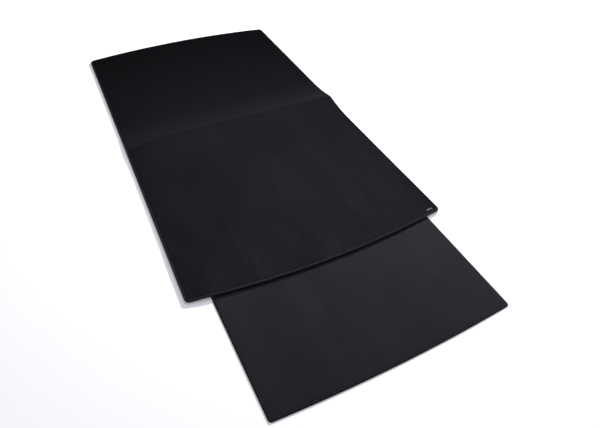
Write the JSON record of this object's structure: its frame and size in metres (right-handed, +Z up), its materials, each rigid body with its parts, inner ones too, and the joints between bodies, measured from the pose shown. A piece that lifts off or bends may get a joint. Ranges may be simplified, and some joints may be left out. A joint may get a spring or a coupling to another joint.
{
  "type": "folding cargo mat",
  "caption": "Black velour cargo mat with bowed ends that folds in half at a raised crease, with a thin padded apron folded out from under its rear edge.",
  "frame": {"origin": "on the floor, at the middle of the box of the spread mat and apron", "axes": "+X across the mat to the right as seen from the apron, +Y forward from the apron to the mat's front edge, +Z up"},
  "size_m": [1.054, 2.3464, 0.03],
  "materials": {
    "carpet": "matt black velour pile",
    "core": "grey needle felt",
    "backing": "matt black non-slip coating with small studs",
    "binding": "black woven edge tape",
    "tape": "black nylon hook-and-loop tape",
    "apron_cloth": "fine black coated cloth, slight sheen",
    "lining": "black brushed fleece",
    "label": "black woven label",
    "label_bar": "grey satin-stitched bar",
    "thread": "black polyester sewing thread"
  },
  "bodies": {
    "rear_half": {"rear_backing": "backing", "rear_core": "core", "rear_carpet": "carpet", "rear_binding": "binding", "apron_anchor": "apron_cloth", "hook_tape_left": "tape", "loop_tape_left": "tape", "hook_tape_centre": "tape", "loop_tape_centre": "tape", "hook_tape_right": "tape", "loop_tape_right": "tape", "label_cloth": "label", "label_bar": "label_bar"},
    "front_half": {"front_backing": "backing", "front_core": "core", "front_carpet": "carpet", "front_binding": "binding"},
    "apron": {"apron_lining": "lining", "apron_padding": "core", "apron_face": "apron_cloth", "apron_hem": "binding"}
  },
  "joints": [
    {"name": "mat_fold", "type": "hinge", "parent": "rear_half", "child": "front_half", "pos_m": [0, 0.2142, 0.03015], "axis": [1, 0, 0], "range_deg": [0, 180]},
    {"name": "apron_fold", "type": "hinge", "parent": "rear_half", "child": "apron", "pos_m": [0, -0.6668, -0.00015], "axis": [1, 0, 0], "range_deg": [0, 180]}
  ]
}
